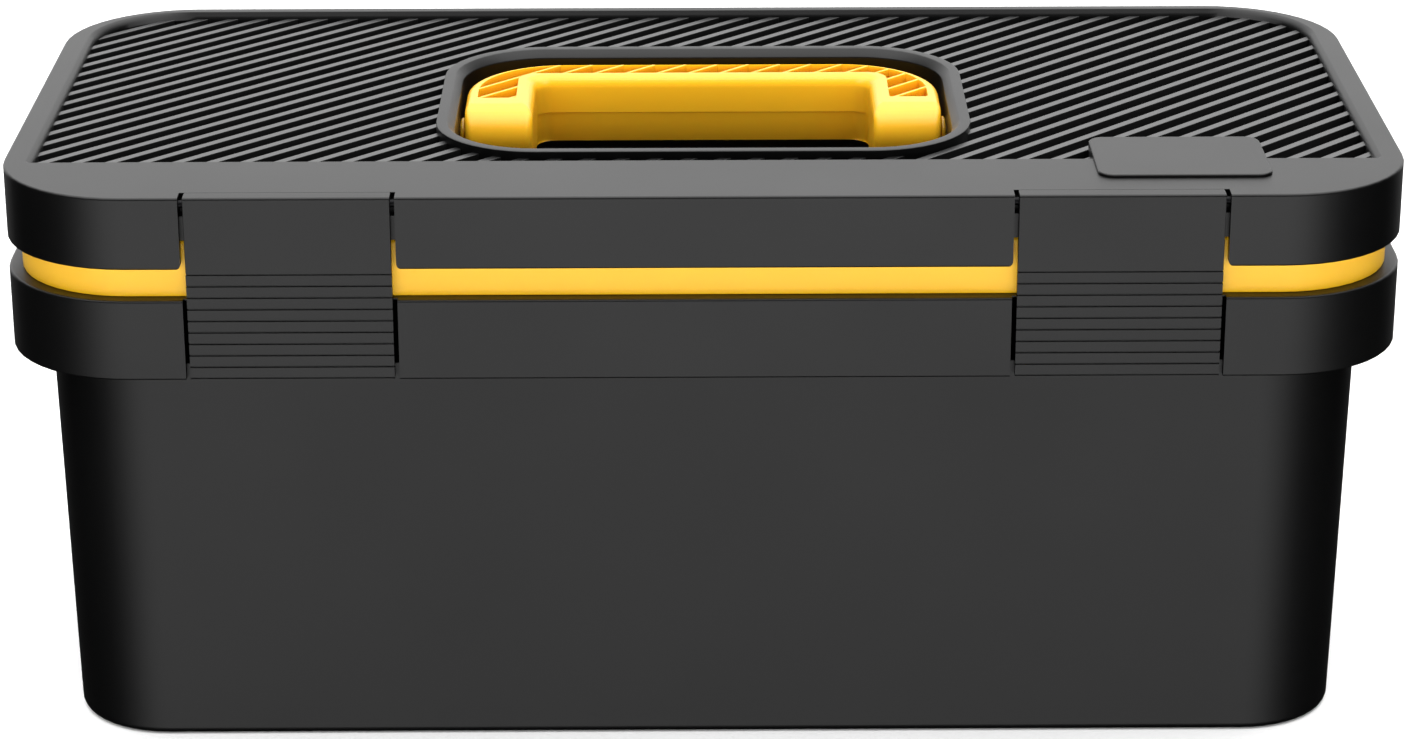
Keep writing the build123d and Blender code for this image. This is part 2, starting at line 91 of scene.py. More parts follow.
# lid
LID_HALF = (LID_HIGH.x, -LID_LOW.y)
LID_RADIUS = 34.0
LID_TOP = 152.0
LID_FOOT = 133.2
LID_WALL = 2.5
LID_PLATE = 2.6
FIELD = dict(half_x=172.4, front=-57.5, back=83.3, front_radius=1.5, back_radius=26.0)
FIELD_FLOOR = 146.6
FIELD_PLATE = 2.4
FIELD_SLOPE = 1.4           # run of the slope from the frame down to the ribs
# from the frame down to the ribs: growth at the sides, growth at the back, drop
FIELD_EDGE = ((0.4, 0.7, 0), (0.0, 0.3, 0.1), (-0.6, 0.04, 0.5), (-1.05, -0.35, 1.1),
              (-FIELD_SLOPE, -1.0, 2.1))
RIB_TOP = 150.1
RIB_WIDTH = 2.3
RIB_PITCH_X = 8.64
RIB_ANGLE = math.radians(46)
RIB_WAY = Vector((math.cos(RIB_ANGLE), math.sin(RIB_ANGLE), 0))
RIB_PHASE_X = -79.8
RIB_ROW_HALF = 255.0        # half the row of bars, which runs past the field along the slant
RIB_BAR = 260.0             # length of one bar before it is cut to the field
WELL = dict(half_x=65.2, front=-44.9, back=41.8, front_radius=22.0, back_radius=22.0)
WELL_FLOOR = 129.0
WELL_WALL = 2.2
MOUTH = 2.1                 # chamfer round the top of the well
COLLAR = 4.9                # reach of the flush collar beyond the well's wall
PAD_CENTRE = (121.0, -57.2)
PAD_HALF = (22.0, 16.0)
PAD_RADIUS = 4.0
PAD_TOP = LID_HIGH.z
STIFFENER = 1.6
STIFFENER_FOOT = 138.5
# pairs of stiffeners: place of the first, step to the second, length as a direction
STIFFENER_PAIRS = (((-150, 3), (35, 0), (0, 150)), ((115, 3), (35, 0), (0, 150)),
                   ((-85, 3), (170, 0), (0, 150)), ((0, -54), (0, 116), (330, 0)))

# latches
LATCH_X = (LATCH_LOW.x + LATCH_HIGH.x) / 2
LATCH_HALF = (LATCH_HIGH.x - LATCH_LOW.x) / 2
LATCH_GAP = 1.2
LATCH_AXIS = (-84.8, 149.8)
LATCH_BARREL = 2.2
LATCH_PLATE = 2.0
LATCH_PIN_R = 1.0
RIDGE_PITCH = 3.065
RIDGE_COUNT = 9
RIDGE_TOP = 131.94          # middle of the line above the first ridge
RIDGE_CUT = 0.5
RIDGE_GAP = 0.42
RIDGE_DEPTH = 1.2
HOOK_TOP = 106.8
HOOK_BACK = -83.6
BAY_FACE = -84.6
BAY_WALL = 2.0
CATCH_FOOT = 107.2
STOP_FACE = (-84.7, -83.5)
STOP_FOOT = 125.0
STOP_INSET = 4.0
CHEEK = 4.0
SLOT_CORNER = 1.5
RUNNING_GAP = 0.06          # radial clearance of what turns

# rear hinges
HINGE_X = 100.0
HINGE_AXIS = (90.5, 129.0)
KNUCKLE_R = 4.0
KNUCKLE_END = 16.0
KNUCKLE_MID = 22.0
KNUCKLE_GAP = 0.5
HINGE_PIN_R = 1.5

# handle
PIVOT = (1.0, 140.45)
KNUCKLE_ROUND = 9.3
BAIL = dict(half_x=BAIL_HIGH.x, back=BAIL_HIGH.y, back_radius=26.0)
BAIL_INNER_X = BAIL_HIGH.x - 18.2
BAR_TOP_Y = 28.0
BAR_SHOULDER = 3.4
BAR_CREASE_Z = 139.6
POCKET = dict(half_x=60.6, inner_x=50.4, back=BAIL_HIGH.y - 1.3, back_radius=23.5, front=5.5,
              bar_front=BAR_TOP_Y + 0.6, tip_radius=0.8, inner_radius=5.2)
POCKET_DEPTH = 12.0
POCKET_RIB = 1.0
POCKET_RIB_X = -4.3         # where one of the pocket's ribs meets the bar's front
HANDLE_PIN_R = 3.0
PIN_DISC_R = 4.8
PIN_DISC = (BAIL_HIGH.x, 65.0)

# tray
BAND_HALF = (BAND_HIGH.x, BAND_HIGH.y)
BAND_RADIUS = 30.5
BAND_TOP = BAND_HIGH.z
BAND_WALL = 2.0
PAN_HALF = (165.6, 74.7)
PAN_RADIUS = 22.0
PAN_DRAFT = math.tan(math.radians(3))
PAN_FOOT = BAND_LOW.z
PAN_WALL = 2.0
PAN_FLOOR = PAN_FOOT + PAN_WALL
PAN_FOOT_HALF = PAN_HALF[1] + (PAN_FLOOR - RIM_TOP) * PAN_DRAFT - PAN_WALL
SPINE_HALF = 1.5            # the carrying wall down the middle of the tray
SPINE_TOP = 117.0
GRIP_HALF = (60.0, 4.5)
GRIP_HEIGHT = 6.0
FINGER_SLOT = (38.6, 7.4)   # half length between its round ends, and their radius
DIVIDER_X = (-62.0, 62.0)
DIVIDER_HALF = 0.8
DIVIDER_TOP = 114.0
NOTCH_RADIUS = 9.0
GUIDE = 1.5
GUIDE_OFFSET = 1.75         # from a divider's middle to each of its two guides
GUIDE_TOP = 115.0


# ------------------------------------------------------------------ meshes
def arc(x, y, radius, start, end, steps=ARC_STEPS):
    """Points along an arc, angles in degrees."""
    points = []
    for i in range(steps + 1):
        angle = math.radians(start + (end - start) * i / steps)
        points.append((x + radius * math.cos(angle), y + radius * math.sin(angle)))
    return points


def outline(half_x, front, back, front_radius, back_radius, grow=0.0):
    """Rounded rectangle in plan, anticlockwise, grown outwards by `grow`."""
    half_x, front, back = half_x + grow, front - grow, back + grow
    front_r = max(front_radius + grow, 0.2)
    back_r = max(back_radius + grow, 0.2)
    return (arc(half_x - front_r, front + front_r, front_r, -90, 0)
            + arc(half_x - back_r, back - back_r, back_r, 0, 90)
            + arc(back_r - half_x, back - back_r, back_r, 90, 180)
            + arc(front_r - half_x, front + front_r, front_r, 180, 270))


def centred(half, radius, grow=0.0):
    """Rounded rectangle about the origin."""
    return outline(half[0], -half[1], half[1], radius, radius, grow)


def bail_outline(half_x, inner_x, back, back_radius, front, bar_front,
                 tip_radius=2.0, inner_radius=4.5, grow=0.0):
    """Plan of the handle's U, anticlockwise from the right arm's tip."""
    half_x, inner_x = half_x + grow, inner_x - grow
    front, back, bar_front = front - grow, back + grow, bar_front - grow
    tip, corner = tip_radius + grow, back_radius + grow
    bend = max(inner_radius - grow, 0.3)
    right = (arc(half_x - tip, front + tip, tip, -90, 0, 4)
             + arc(half_x - corner, back - corner, corner, 0, 90))
    inner = (arc(inner_x - bend, bar_front - bend, bend, 90, 0, 6)
             + arc(inner_x + tip, front + tip, tip, 180, 270, 4))
    left = [(-x, y) for x, y in reversed(right)]
    inner_left = [(-x, y) for x, y in reversed(inner)]
    return right + left + inner_left + inner


def level(points, z):
    """Lift plan points to a height."""
    return [(x, y, z) for x, y in points]


def link(name, data):
    """An object for a mesh, a lamp or a camera, in the scene."""
    thing = bpy.data.objects.new(name, data)
    bpy.context.scene.collection.objects.link(thing)
    return thing


def loft(name, rings):
    """Closed skin through rings of points, with a flat cap at each end."""
    build = bmesh.new()
    loops = [[build.verts.new(Vector(p) * MM) for p in ring] for ring in rings]
    for low, high in zip(loops, loops[1:]):
        for i, corner in enumerate(low):
            j = (i + 1) % len(low)
            build.faces.new((corner, low[j], high[j], high[i]))
    build.faces.new(reversed(loops[0]))
    build.faces.new(loops[-1])
    bmesh.ops.recalc_face_normals(build, faces=build.faces)
    mesh = bpy.data.meshes.new(name)
    build.to_mesh(mesh)
    build.free()
    return link(name, mesh)


def extruded(name, points, low, high, axis="X", bevel=0.0):
    """Prism of an outline: (Y, Z) points along X, (X, Z) along Y or (X, Y) along Z."""
    place = {"X": lambda a, b, c: (c, a, b), "Y": lambda a, b, c: (a, c, b),
             "Z": lambda a, b, c: (a, b, c)}[axis]
    piece = loft(name, [[place(a, b, end) for a, b in points] for end in (low, high)])
    if bevel:
        build = bmesh.new()
        build.from_mesh(piece.data)
        along = "XYZ".index(axis)
        rims = [e for e in build.edges
                if abs(e.verts[0].co[along] - e.verts[1].co[along]) < SAME_PLACE]
        bmesh.ops.bevel(build, geom=rims, offset=bevel * MM, segments=2, affect="EDGES",
                        profile=0.5)
        build.to_mesh(piece.data)
        build.free()
    return piece


def brick(name, x, y, z, bevel=0.4):
    """Box with rounded edges, from (low, high) pairs."""
    build = bmesh.new()
    bmesh.ops.create_cube(build, size=1.0)
    for vertex in build.verts:
        for k, (low, high) in enumerate((x, y, z)):
            vertex.co[k] = (low if vertex.co[k] < 0 else high) * MM
    if bevel:
        bmesh.ops.bevel(build, geom=build.edges[:], offset=bevel * MM, segments=2,
                        affect="EDGES", profile=0.5)
    mesh = bpy.data.meshes.new(name)
    build.to_mesh(mesh)
    build.free()
    return link(name, mesh)


def turned(name, y, z, rings, steps=40):
    """Round bar along X from (x, radius) stations."""
    around = arc(0, 0, 1, 0, 360, steps)[:-1]
    return loft(name, [[(x, y + radius * a, z + radius * b) for a, b in around]
                       for x, radius in rings])


def settle(piece):
    """Turn the piece with its modifiers into a plain mesh."""
    graph = bpy.context.evaluated_depsgraph_get()
    mesh = bpy.data.meshes.new_from_object(piece.evaluated_get(graph), depsgraph=graph)
    piece.modifiers.clear()
    piece.data = mesh
    mesh.name = piece.name
    return piece


def combine(piece, tools, operation):
    """Cut with, or join on, a list of closed tools, which are used up."""
    for tool in tools:
        step = piece.modifiers.new(operation.lower(), "BOOLEAN")
        step.operation = operation
        step.solver = "EXACT"
        step.object = tool
    settle(piece)
    for tool in tools:
        bpy.data.objects.remove(tool)
    return piece


def join(piece, others):
    """Add other closed pieces to a mesh as they are."""
    build = bmesh.new()
    build.from_mesh(piece.data)
    for other in others:
        build.from_mesh(other.data)
        bpy.data.objects.remove(other)
    build.to_mesh(piece.data)
    build.free()
    return piece


def smooth(piece, angle=32):
    """Smooth shading up to an angle, with large faces kept flat."""
    build = bmesh.new()
    build.from_mesh(piece.data)
    bmesh.ops.remove_doubles(build, verts=build.verts, dist=SAME_PLACE)
    build.to_mesh(piece.data)
    build.free()
    piece.data.shade_smooth()
    piece.data.set_sharp_from_angle(angle=math.radians(angle))
    weigh = piece.modifiers.new("weigh", "WEIGHTED_NORMAL")
    weigh.keep_sharp = True
    weigh.weight = 100
    return settle(piece)


def edge_rings(plan, z_from, radius):
    """Rings up round an upper outer edge: `plan(grow)` gives the outline."""
    rings = []
    for i in range(EDGE_STEPS + 1):
        angle = math.pi / 2 * i / EDGE_STEPS
        rings.append(level(plan(-radius * (1 - math.cos(angle))),
                           z_from + radius * math.sin(angle)))
    return rings


def foot_rings(plan, grow, z, radius, steps=EDGE_STEPS):
    """Rings up round a lower outer edge, from the underside to the wall."""
    rings = []
    for i in range(steps + 1):
        angle = math.pi / 2 * i / steps
        rings.append(level(plan(grow - radius * (1 - math.sin(angle))),
                           z + radius * (1 - math.cos(angle))))
    return rings


def lip_rings(plan, z, radius):
    """Rings down round the upper edge of an opening, from the top into the wall."""
    rings = []
    for i in range(EDGE_STEPS + 1):
        angle = math.pi / 2 * i / EDGE_STEPS
        rings.append(level(plan(radius * (1 - math.sin(angle))),
                           z - radius * (1 - math.cos(angle))))
    return rings


def fillet_rings(plan, z, radius, steps):
    """Rings down round an inner corner, from the wall on to the floor at z."""
    rings = []
    for i in range(steps + 1):
        angle = math.pi / 2 * i / steps
        rings.append(level(plan(-radius * (1 - math.cos(angle))),
                           z + radius * (1 - math.sin(angle))))
    return rings


# ------------------------------------------------------------------ node tools
def group_input(tree, name, kind, value):
    """A named input of a node group, with its default."""
    socket = tree.interface.new_socket(name, in_out="INPUT", socket_type=kind)
    if value is not None:
        socket.default_value = value
    return socket


class Tree:
    """Short calls for laying out a node tree."""

    def __init__(self, name, kind):
        self.tree = bpy.data.node_groups.new(name, kind)
        self.nodes = self.tree.nodes
        self.ins = self.nodes.new("NodeGroupInput")
        self.outs = self.nodes.new("NodeGroupOutput")

    def add(self, kind, inputs=(), **settings):
        return add_node(self.nodes, self.tree.links, kind, inputs, **settings)


def add_node(nodes, links, kind, inputs=(), **settings):
    """A node with its properties and its inputs, given as values or sockets."""
    node = nodes.new(kind)
    for key, value in settings.items():
        setattr(node, key, value)
    for key, value in dict(inputs).items():
        if isinstance(value, bpy.types.NodeSocket):
            links.new(value, node.inputs[key])
        else:
            node.inputs[key].default_value = value
    return node


def bar_row_tree():
    """Geometry nodes: a row of straight bars with rounded edges, cut to a block if asked."""
    t = Tree("Bar Row", "GeometryNodeTree")
    tree = t.tree
    tree.interface.new_socket("Block", in_out="INPUT", socket_type="NodeSocketGeometry")
    for name, kind, value in (("Start", "NodeSocketVector", (0, 0, 0)),
                              ("Step", "NodeSocketVector", (0.01, 0, 0)),
                              ("Reach", "NodeSocketVector", (0.1, 0, 0)),
                              ("Count", "NodeSocketInt", 10),
                              ("Width", "NodeSocketFloat", 0.002),
                              ("Height", "NodeSocketFloat", 0.002),
                              ("Edge Round", "NodeSocketFloat", 0.0003),
                              ("Cut To Block", "NodeSocketBool", False),
                              ("Material", "NodeSocketMaterial", None)):
        group_input(tree, name, kind, value)
    tree.interface.new_socket("Bars", in_out="OUTPUT", socket_type="NodeSocketGeometry")
    ins = t.ins.outputs
    places = t.add("GeometryNodeMeshLine", {"Count": ins["Count"], "Start Location": ins["Start"],
                                            "Offset": ins["Step"]}, mode="OFFSET")
    half = t.add("ShaderNodeVectorMath", {0: ins["Reach"], 1: (-0.5, -0.5, -0.5)},
                 operation="MULTIPLY")
    other = t.add("ShaderNodeVectorMath", {0: ins["Reach"], 1: (0.5, 0.5, 0.5)},
                  operation="MULTIPLY")
    run = t.add("GeometryNodeCurvePrimitiveLine", {"Start": half.outputs[0],
                                                   "End": other.outputs[0]})
    section = t.add("GeometryNodeCurvePrimitiveQuadrilateral", {"Width": ins["Width"],
                                                                "Height": ins["Height"]})
    rounded = t.add("GeometryNodeFilletCurve", {"Curve": section.outputs[0], "Count": 3,
                                                "Radius": ins["Edge Round"]}, mode="POLY")
    upright = t.add("GeometryNodeSetCurveNormal", {"Curve": run.outputs[0]}, mode="Z_UP")
    bar = t.add("GeometryNodeCurveToMesh", {"Curve": upright.outputs[0],
                                            "Profile Curve": rounded.outputs[0],
                                            "Fill Caps": True})
    row = t.add("GeometryNodeInstanceOnPoints", {"Points": places.outputs[0],
                                                 "Instance": bar.outputs[0]})
    real = t.add("GeometryNodeRealizeInstances", {"Geometry": row.outputs[0]})
    cut = t.add("GeometryNodeMeshBoolean", operation="INTERSECT", solver="EXACT")
    tree.links.new(real.outputs[0], cut.inputs["Mesh 2"])
    tree.links.new(ins["Block"], cut.inputs["Mesh 2"])
    pick = t.add("GeometryNodeSwitch", {"Switch": ins["Cut To Block"], "False": real.outputs[0],
                                        "True": cut.outputs[0]}, input_type="GEOMETRY")
    final = t.add("GeometryNodeRealizeInstances", {"Geometry": pick.outputs[0]})
    paint = t.add("GeometryNodeSetMaterial", {"Geometry": final.outputs[0],
                                              "Material": ins["Material"]})
    tree.links.new(paint.outputs[0], t.outs.inputs[0])
    return tree


def bar_row(start, step, count, reach, width, height, edge_round, material, block=None):
    """A row of bars as a plain mesh, in millimetres; only what lies in `block`, if given."""
    bars = block or link("bars", bpy.data.meshes.new("bars"))
    grow = bars.modifiers.new(BAR_ROW.name, "NODES")
    grow.node_group = BAR_ROW
    values = {"Start": Vector(start) * MM, "Step": Vector(step) * MM,
              "Reach": Vector(reach) * MM, "Count": count, "Width": width * MM,
              "Height": height * MM, "Edge Round": edge_round * MM,
              "Cut To Block": block is not None, "Material": material}
    for socket in BAR_ROW.interface.items_tree:
        if socket.name in values:
            grow[socket.identifier] = values[socket.name]
    return settle(bars)


# ------------------------------------------------------------------ shared finishes
def grain_group():
    """Fine moulded grain: a height and a small change of gloss."""
    t = Tree("Moulded Grain", "ShaderNodeTree")
    for name, value in (("Grain Size", 0.0004), ("Grain Depth", 1.0), ("Gloss", 0.45),
                        ("Gloss Change", 0.05)):
        group_input(t.tree, name, "NodeSocketFloat", value)
    for name in ("Height", "Roughness"):
        t.tree.interface.new_socket(name, in_out="OUTPUT", socket_type="NodeSocketFloat")
    ins = t.ins.outputs
    where = t.add("ShaderNodeTexCoord")
    scale = t.add("ShaderNodeMath", {0: 1.0, 1: ins["Grain Size"]}, operation="DIVIDE")
    fine = t.add("ShaderNodeTexNoise", {"Vector": where.outputs["Object"],
                                        "Scale": scale.outputs[0], "Detail": 2.0,
                                        "Roughness": 0.6})
    broad = t.add("ShaderNodeTexNoise", {"Vector": where.outputs["Object"], "Scale": 22.0,
                                         "Detail": 3.0, "Roughness": 0.55})
    height = t.add("ShaderNodeMath", {0: fine.outputs[0], 1: ins["Grain Depth"]},
                   operation="MULTIPLY")
    mix = t.add("ShaderNodeMath", {0: broad.outputs[0], 1: 0.5}, operation="SUBTRACT")
    change = t.add("ShaderNodeMath", {0: mix.outputs[0], 1: ins["Gloss Change"],
                                      2: ins["Gloss"]}, operation="MULTIPLY_ADD")
    t.tree.links.new(height.outputs[0], t.outs.inputs["Height"])
    t.tree.links.new(change.outputs[0], t.outs.inputs["Roughness"])
    return t.tree


def tone_group():
    """Slow drift between two near colours, as pigment does in a moulding."""
    t = Tree("Pigment Drift", "ShaderNodeTree")
    for name, value in (("Base", (0.02, 0.02, 0.02, 1)), ("Drift", (0.024, 0.024, 0.024, 1))):
        group_input(t.tree, name, "NodeSocketColor", value)
    group_input(t.tree, "Patch Size", "NodeSocketFloat", 0.06)
    t.tree.interface.new_socket("Color", in_out="OUTPUT", socket_type="NodeSocketColor")
    ins = t.ins.outputs
    where = t.add("ShaderNodeTexCoord")
    scale = t.add("ShaderNodeMath", {0: 1.0, 1: ins["Patch Size"]}, operation="DIVIDE")
    cloud = t.add("ShaderNodeTexNoise", {"Vector": where.outputs["Object"],
                                         "Scale": scale.outputs[0], "Detail": 3.0})
    blend = t.add("ShaderNodeMix", {0: cloud.outputs[0], 6: ins["Base"], 7: ins["Drift"]},
                  data_type="RGBA")
    t.tree.links.new(blend.outputs[2], t.outs.inputs["Color"])
    return t.tree


GRAIN = grain_group()
DRIFT = tone_group()


def grained(name, base, drift, gloss, gloss_change, grain, relief):
    """A material and its shader, with both shared groups. `grain` is the grain's size and
    depth, `relief` the bump's strength and distance."""
    material = bpy.data.materials.new(name)
    material.use_nodes = True
    nodes, links = material.node_tree.nodes, material.node_tree.links
    shader = nodes["Principled BSDF"]
    colour = add_node(nodes, links, "ShaderNodeGroup", node_tree=DRIFT)
    colour.inputs["Base"].default_value = (*base, 1)
    colour.inputs["Drift"].default_value = (*drift, 1)
    surface = add_node(nodes, links, "ShaderNodeGroup", node_tree=GRAIN)
    for key, value in (("Grain Size", grain[0]), ("Grain Depth", grain[1]), ("Gloss", gloss),
                       ("Gloss Change", gloss_change)):
        surface.inputs[key].default_value = value
    bump = add_node(nodes, links, "ShaderNodeBump", {"Height": surface.outputs["Height"],
                                                    "Strength": relief[0],
                                                    "Distance": relief[1]})
    links.new(colour.outputs["Color"], shader.inputs["Base Color"])
    links.new(surface.outputs["Roughness"], shader.inputs["Roughness"])
    links.new(bump.outputs[0], shader.inputs["Normal"])
    return material, shader


def plastic(name, base, drift, gloss, grain_depth=0.4, gloss_change=0.05, specular=0.38,
            scatter=0.0):
    """Moulded plastic: drifting pigment, fine grain and a little sheen change."""
    material, shader = grained(name, base, drift, gloss, gloss_change, (0.0004, grain_depth),
                               (0.5, 0.00004))
    shader.inputs["Specular IOR Level"].default_value = specular
    if scatter:
        shader.inputs["Subsurface Weight"].default_value = scatter
        shader.inputs["Subsurface Radius"].default_value = (0.004, 0.002, 0.0006)
        shader.inputs["Subsurface Scale"].default_value = 1.0
    return material


def steel(name, base, drift, gloss):
    """Drawn steel with fine marks."""
    material, shader = grained(name, base, drift, gloss, 0.15, (0.0003, 0.5), (0.4, 0.00002))
    shader.inputs["Metallic"].default_value = 1.0
    return material


JET = ((0.0013, 0.0013, 0.00135), (0.0019, 0.0019, 0.00195))
TUB_BLACK = plastic("tub_black", *JET, 0.42)
LID_BLACK = plastic("lid_black", *JET, 0.4)
LATCH_BLACK = plastic("latch_black", *JET, 0.41)
# Painted sheen: the ribs are the lid's own black plastic, given a lighter colour and stronger
# gloss so that their tops read brighter than the frame, as a highlight would.
RIB_BLACK_PAINTED_SHEEN = plastic("rib_black_painted_sheen", (0.006, 0.006, 0.0062), (0.008, 0.008, 0.0082), 0.36,
                    specular=0.8)
TRAY_YELLOW = plastic("tray_yellow", (0.62, 0.338, 0.006), (0.66, 0.358, 0.009), 0.42,
                      grain_depth=0.2, specular=0.5, scatter=0.15)
BAIL_YELLOW = plastic("handle_yellow", (0.88, 0.455, 0.012), (0.91, 0.475, 0.016), 0.3,
                      grain_depth=0.12, gloss_change=0.03, specular=0.5, scatter=0.15)
PIN_STEEL = steel("pin_bright", (0.52, 0.52, 0.54), (0.62, 0.62, 0.63), 0.28)
PIN_BLACK = steel("pin_blackened", (0.012, 0.012, 0.013), (0.02, 0.02, 0.021), 0.5)
BAR_ROW = bar_row_tree()


def dress(piece, material, body, slot, *nodes):
    """Give a finished piece its material and body, and hide the CAD nodes it stands for. `slot`
    is not used.
    """
    piece.data.materials.clear()
    piece.data.materials.append(material)
    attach(piece, body)
    if nodes:
        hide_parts(*nodes)
    return piece


def latch_sides(side):
    """Low and high X of one latch's bay."""
    half = LATCH_HALF + LATCH_GAP
    return side * LATCH_X - half, side * LATCH_X + half


def hinge_spans(side):
    """X spans of one hinge: tub, lid, tub."""
    middle = side * HINGE_X
    lid = (middle - KNUCKLE_MID / 2, middle + KNUCKLE_MID / 2)
    left = (lid[0] - KNUCKLE_GAP - KNUCKLE_END, lid[0] - KNUCKLE_GAP)
    right = (lid[1] + KNUCKLE_GAP, lid[1] + KNUCKLE_GAP + KNUCKLE_END)
    return left, lid, right


# ------------------------------------------------------------------ tub
def tub_plan(z, wall=0.0):
    """Plan of the tub's drafted wall at a height."""
    grow = z * TUB_DRAFT - wall
    return lambda more: centred(TUB_HALF, TUB_RADIUS, grow + more)


def rim_plan(more):
    return centred(RIM_HALF, RIM_RADIUS, more)


def tub_rings():
    """From the underside up the outside, round the rim, and down inside to the floor."""
    rings = foot_rings(tub_plan(0), 0, 0, FOOT_ROUND, 6)
    plate_foot = RIM_TOP - RIM_PLATE
    rings.append(level(tub_plan(plate_foot - 1.5)(0), plate_foot - 1.5))
    rings.append(level(tub_plan(plate_foot)(1.5), plate_foot))
    rings.append(level(rim_plan(-RIM_SKIRT - 1), plate_foot))
    rings.append(level(rim_plan(-RIM_SKIRT), plate_foot - 1))
    rings.append(level(rim_plan(-RIM_SKIRT), RIM_FOOT + 0.4))
    rings.append(level(rim_plan(-RIM_SKIRT + 0.4), RIM_FOOT))
    rings += foot_rings(rim_plan, 0, RIM_FOOT, 0.5, 3)
    rings += edge_rings(rim_plan, RIM_TOP - EDGE_ROUND, EDGE_ROUND)
    rings += lip_rings(tub_plan(RIM_TOP, TUB_WALL), RIM_TOP, LIP_ROUND)
    return rings + fillet_rings(tub_plan(TUB_FLOOR, TUB_WALL), TUB_FLOOR, FLOOR_FILLET, 6)


def make_tub():
    tub = loft("tub", tub_rings())
    tools = []
    for side in SIDES:
        low, high = latch_sides(side)
        tools.append(brick("bay", (low, high), (-RIM_HALF[1] - PAST, BAY_FACE),
                           (RIM_FOOT - PAST, RIM_TOP + PAST), 0))
        half_x, half_y, radius, depth = FOOT_POCKET
        for across in SIDES:
            plan = [(side * FOOT_POCKET_AT[0] + x, across * FOOT_POCKET_AT[1] + y)
                    for x, y in centred((half_x, half_y), radius)]
            tools.append(extruded("pocket", plan, -1, depth, "Z"))
    combine(tub, tools, "DIFFERENCE")

    walls = []
    y, z = HINGE_AXIS
    arm = [(RIM_HALF[1] - 1, RIM_FOOT + 4), (y + KNUCKLE_R, z - 10)]
    arm += [(y + a, z + b) for a, b in arc(0, 0, KNUCKLE_R, 0, 180, 16)]
    arm += [(RIM_HALF[1] - 1, RIM_TOP - 1)]
    for side in SIDES:
        low, high = latch_sides(side)
        walls.append(brick("catch", (low - 1.8, high + 1.8), (BAY_FACE, BAY_FACE + BAY_WALL),
                           (CATCH_FOOT, RIM_TOP - 0.02), 0.3))
        for cheek in ((low - 2, low), (high, high + 2)):
            walls.append(brick("cheek", cheek, (0.6 - RIM_HALF[1], -TUB_HALF[1] - 1),
                               (RIM_FOOT + 0.1, RIM_TOP - 1), 0))
        left, _, right = hinge_spans(side)
        for span in (left, right):
            walls.append(extruded("arm", arm, *span, bevel=0.4))
    join(tub, walls)
    smooth(tub)
    return dress(tub, TUB_BLACK, "base", "tub_plastic", "base_tub")


def make_webs():
    """Webs under the rim: along the ends, the back, and the front between the latches."""
    rows = []
    foot, top = RIM_FOOT + 3, RIM_TOP - 1
    height = top - foot
    middle_z = (foot + top) / 2
    gap_x = (TUB_HALF[0] + middle_z * TUB_DRAFT - 1, RIM_HALF[0] - 1)
    gap_y = (TUB_HALF[1] + middle_z * TUB_DRAFT - 1, RIM_HALF[1] - 1)

    def row(x, y, webs, along, reach):
        count, pitch = webs
        step = Vector(along) * pitch
        start = Vector((x, y, middle_z)) - step * (count - 1) / 2
        rows.append(bar_row(start, step, count, reach, WEB, height, 0.3, TUB_BLACK))

    for side in SIDES:
        row(side * sum(gap_x) / 2, 0, WEBS_END, (0, 1, 0), (gap_x[1] - gap_x[0], 0, 0))
    length = gap_y[1] - gap_y[0]
    row(0, sum(gap_y) / 2, WEBS_BACK, (1, 0, 0), (0, length, 0))
    row(0, -sum(gap_y) / 2, WEBS_FRONT, (1, 0, 0), (0, length, 0))
    webs = join(rows[0], rows[1:])
    webs.name = "tub_webs"
    smooth(webs)
    return dress(webs, TUB_BLACK, "base", "tub_plastic")


# ------------------------------------------------------------------ lid
def lid_plan(more):
    return centred(LID_HALF, LID_RADIUS, more)


def field_plan(more):
    return outline(**FIELD, grow=more)


def well_plan(more):
    return outline(**WELL, grow=more)


def pad_plan(more):
    return [(PAD_CENTRE[0] + x, PAD_CENTRE[1] + y)
            for x, y in centred(PAD_HALF, PAD_RADIUS, more)]


def field_edge_plan(more, back_more):
    """The field's outline grown at its sides and its back, where its edge slopes."""
    return outline(FIELD["half_x"] + more, FIELD["front"], FIELD["back"] + back_more,
                   FIELD["front_radius"], FIELD["back_radius"])


def lid_rings():
    """From under the well outwards, round the skirt, in over the top and down into the well."""
    under = LID_TOP - LID_PLATE
    plate_foot = FIELD_FLOOR - FIELD_PLATE
    inner = -LID_WALL
    rings = foot_rings(well_plan, WELL_WALL, WELL_FLOOR - WELL_WALL, 1.5)
    rings.append(level(well_plan(WELL_WALL), plate_foot))
    rings.append(level(field_plan(2.0), plate_foot))
    rings.append(level(field_plan(2.0), under))
    rings.append(level(lid_plan(inner), under))
    rings.append(level(lid_plan(inner), LID_FOOT + 0.4))
    rings.append(level(lid_plan(inner + 0.4), LID_FOOT))
    rings += foot_rings(lid_plan, 0, LID_FOOT, 0.5, 3)
    rings += edge_rings(lid_plan, LID_TOP - EDGE_ROUND, EDGE_ROUND)
    for grow, back_grow, drop in FIELD_EDGE:
        rings.append(level(field_edge_plan(grow, back_grow), LID_TOP - drop))
    rings.append(level(field_edge_plan(-FIELD_SLOPE - 0.1, -1.1), FIELD_FLOOR))
    rings.append(level(well_plan(COLLAR), FIELD_FLOOR))
    rings.append(level(well_plan(COLLAR), LID_TOP - 0.4))
    rings.append(level(well_plan(COLLAR - 0.12), LID_TOP - 0.12))
    rings.append(level(well_plan(COLLAR - 0.4), LID_TOP))
    rings.append(level(well_plan(MOUTH + 0.2), LID_TOP))
    rings.append(level(well_plan(MOUTH - 0.2), LID_TOP - 0.15))
    rings.append(level(well_plan(0.25), LID_TOP - MOUTH + 0.25))
    rings.append(level(well_plan(0), LID_TOP - MOUTH - 0.25))
    return rings + fillet_rings(well_plan, WELL_FLOOR, FLOOR_FILLET, 4)


